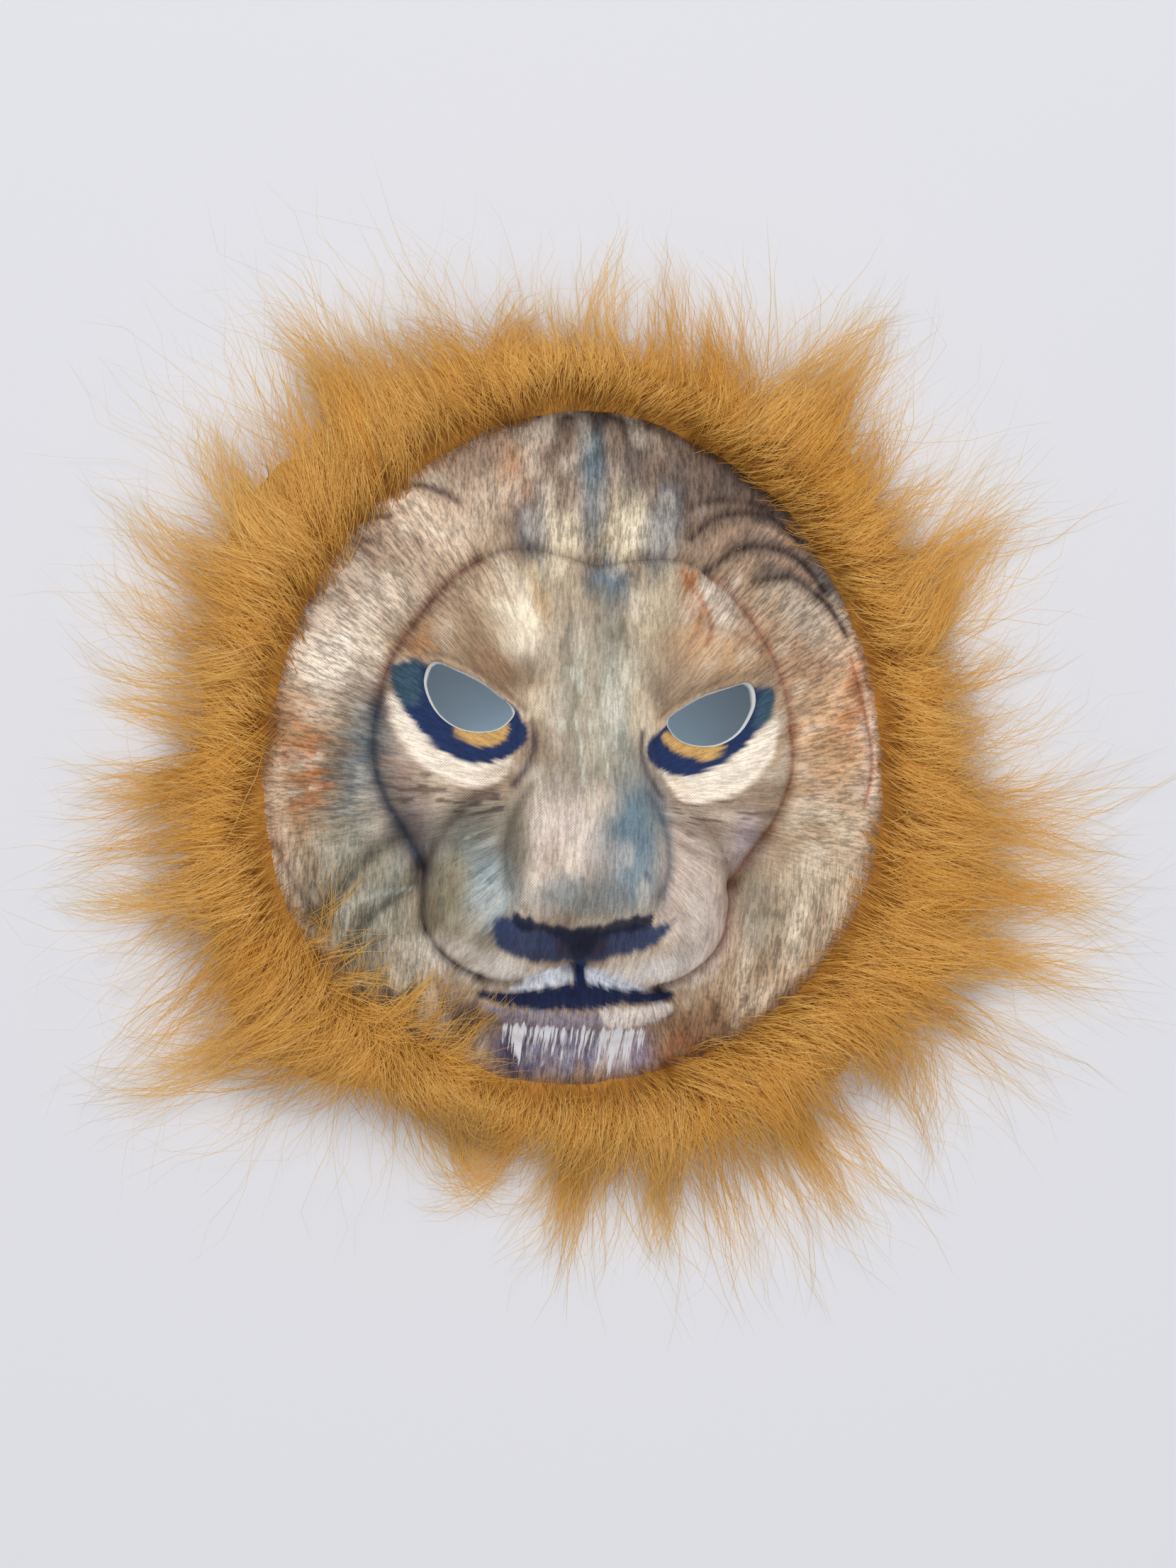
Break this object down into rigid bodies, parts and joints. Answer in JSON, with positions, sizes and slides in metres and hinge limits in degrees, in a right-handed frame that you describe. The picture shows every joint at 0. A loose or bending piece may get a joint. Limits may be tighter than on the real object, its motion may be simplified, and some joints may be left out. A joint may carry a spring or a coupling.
{
  "type": "lion mask",
  "caption": "Moulded foam lion face mask with a printed cloth cover, open eye holes and a shaggy long-pile fur mane round the rim, lying face up",
  "frame": {"origin": "the middle of the footprint, on the surface that the mask lies on", "axes": "+Z out of the face, which is up as the mask lies; +Y towards the top of the head; +X towards the right side of the face as it is looked at"},
  "size_m": [0.4228, 0.4084, 0.0787],
  "materials": {
    "printed_cloth": "matt woven polyester with a lion fur print in tan, cream, blue-grey and navy",
    "white_foam": "matt white closed-cell foam",
    "gold_fur": "golden brown long-pile imitation fur with a soft sheen"
  },
  "bodies": {
    "root": {"printed_cover": "printed_cloth", "foam_shell": "white_foam", "mane": "gold_fur"}
  },
  "joints": []
}
